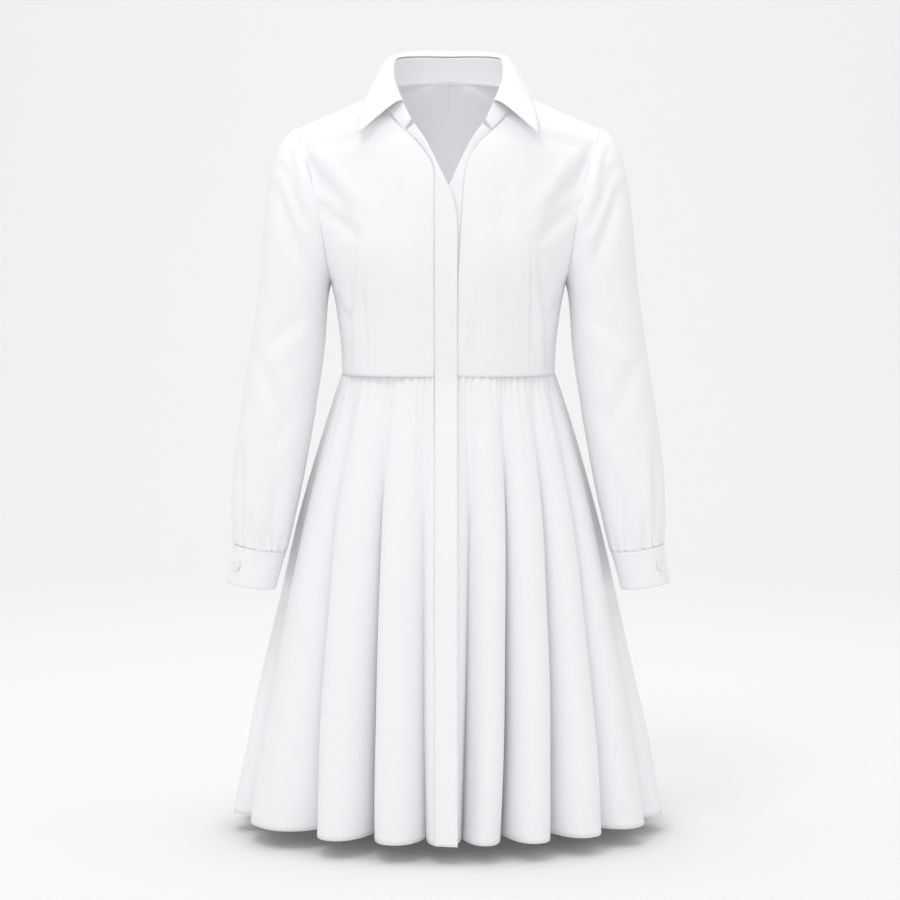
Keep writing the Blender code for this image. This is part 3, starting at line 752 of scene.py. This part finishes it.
lower = placket_sheet("placket_lower_shell", "placket_lower", lower_stitched, lower_free,
                      0.0, True)

# %% [markdown]
# ## Collar
# A shirt collar is a stand, sewn to the neck, and a leaf that folds over it. The leaf has a
# row of stitches near its edge.

# %% Collar pieces
COLLAR_FINE = 90


def collar_grids():
    """Half the stand and half the leaf."""
    stations = COLLAR + [STAND_END]
    stand, leaf = [], []
    stand.append([collar_row("neck", at, stations) * np.array((0.975, 0.975, 1))
                  - vec(0, 0, TUCK) for at in np.linspace(0, len(stations) - 1, COLLAR_FINE)])
    for share in np.linspace(0, 1, 14):
        line = []
        for at in np.linspace(0, len(stations) - 1, COLLAR_FINE):
            low, high = (collar_row(n, at, stations) for n in ("neck", "roll"))
            bulge = 0.8 * math.sin(math.pi * share)
            line.append(low + (high - low) * (0.03 + 0.95 * share)
                        + vec(0, 0, 0.2) + bulge * unit(vec(low[0] * 0.6, low[1], 0.01)))
        stand.append(line)
    for t in np.linspace(0, 1, 40):
        line = []
        for at in np.linspace(0, len(COLLAR) - 1, COLLAR_FINE):
            roll, crest, edge = (collar_row(n, at, COLLAR) for n in ("roll", "crest", "edge"))
            start = roll + 0.8 * unit(crest - roll)
            over = crest + 0.42 * (crest - roll)
            down = crest + 0.30 * (edge - crest) + 0.20 * (crest - roll)
            line.append(bezier(start, over, down, edge, t))
        leaf.append(line)
    return np.array(stand)[::-1], np.array(leaf)[::-1, ::-1]


stand, leaf = collar_grids()
cloth_sheet("collar_stand_shell", np.concatenate([other_side(stand)[:, :-1], stand], axis=1),
            "collar_stand")
leaf_full = np.concatenate([leaf[:, :-1], other_side(leaf)], axis=1)
cloth_sheet("collar_leaf_shell", leaf_full, "collar_leaf")

# %% [markdown]
# ## Sleeves and cuffs
# The sleeve is one tube with a rounded cap. It has small gathers where it meets the cuff.

# %% Sleeves and cuffs
SLEEVE_FINE, SLEEVE_STEPS = 130, 60
CUFF_OVERLAP = 0.09        # part of a turn by which a cuff's ends pass each other
CUFF_UNDER = 2.6           # how far its back end dips under its front end
SLEEVE_CREASES = [
    Crease(213, -95, 180, -190, 8, 4.0), Crease(222, -120, 184, -235, 9, 4.4),
    Crease(205, -75, 190, -140, 6, 2.2), Crease(262, -455, 268, -590, 6, 3.4),
    Crease(180, -290, 240, -340, 12, 2.6), Crease(246, -330, 210, -430, 12, 2.2),
    Crease(248, -540, 256, -592, 5, 3.0), Crease(214, -500, 226, -590, 7, 3.0),
    Crease(190, -400, 226, -470, 10, 2.0),
]


def sleeve_shell():
    """The +X sleeve, its cap, its creases and the gathers above the cuff."""
    angles = np.linspace(0, 2 * math.pi, SLEEVE_FINE, endpoint=False)
    hole = [armhole_point(a) - vec(5.5, 0, 0) for a in angles]
    middle = sum(hole) / len(hole)
    grid = [[p + 3.0 * unit(middle - p) * vec(0.2, 1, 1) for p in hole]]
    grid += [[cap_point(a, t) for a in angles] for t in np.linspace(0, 1, SLEEVE_STEPS)[:-1]]
    keys = list(range(len(SLEEVE_RINGS)))
    for at in np.linspace(0, len(SLEEVE_RINGS) - 1, 2 * SLEEVE_STEPS):
        ring = SleeveRing(*smooth_rows(keys, [tuple(r) for r in SLEEVE_RINGS], at))
        near = math.exp(-(len(SLEEVE_RINGS) - 1 - at) / 0.42)
        grid.append([ring_point(ring, a, grow=near * (1.5 * math.sin(17 * a + math.sin(3 * a))
                                                      + 0.8 * math.sin(29 * a)))
                     for a in angles])
    grid.append([ring_point(CUFF_RINGS[0], a, grow=-2.4) - vec(0, 0, TUCK) for a in angles])
    grid = np.array(grid)[:, ::-1]
    grid = creased(grid, SLEEVE_CREASES, closed=True)
    return creased(grid, SLEEVE_CREASES, closed=True, front=False)


def cuff_shell():
    """The +X cuff, with its front end over its back end on the outer side."""
    angles = np.linspace(-2 * math.pi * CUFF_OVERLAP, 2 * math.pi, 180)
    keys = list(range(len(CUFF_RINGS)))
    grid = []
    for at in np.linspace(0, 2, 24):
        ring = SleeveRing(*smooth_rows(keys, [tuple(r) for r in CUFF_RINGS], at))
        line = []
        for a in angles:
            under = min(1.0, max(0.0, (a / (2 * math.pi) - 0.72) / 0.2))
            ridge = 0.35 * (math.exp(-((at - 0.12) / 0.06) ** 2)
                            + math.exp(-((at - 1.86) / 0.06) ** 2))
            line.append(ring_point(ring, a, ridge - CUFF_UNDER * under * under * (3 - 2 * under)))
        grid.append(line)
    return np.array(grid)[:, ::-1]


sleeve, cuff = sleeve_shell(), cuff_shell()
cloth_sheet("sleeve_left_shell", sleeve, "sleeve_left", closed=True)
cloth_sheet("sleeve_right_shell", other_side(sleeve), "sleeve_right", closed=True)
cloth_sheet("cuff_left_shell", cuff, "cuff_left")
cloth_sheet("cuff_right_shell", other_side(cuff), "cuff_right")

# %% [markdown]
# ## Buttons and stitching
# The two cuff buttons keep their solid shape and get their polished finish. Rows of machine
# stitches follow the upper placket, the collar leaf, the hem and the cuffs.

# %% Buttons and stitches
for side in ("left", "right"):
    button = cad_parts[f"cuff_button_{side}"]
    button.data.materials.clear()
    button.data.materials.append(polyester)
stitch_run("placket_stitches", [line_on(upper, column=1)])
stitch_run("leaf_stitches", [line_on(leaf_full, row=2)])
stitch_run("hem_stitches", [line_on(g, row=-4) for g in (skirt_left, skirt_back, skirt_right)])
cuff_lines = [line_on(g, row=r) for g in (cuff, other_side(cuff)) for r in (2, -3)]
stitch_run("cuff_stitches", cuff_lines)
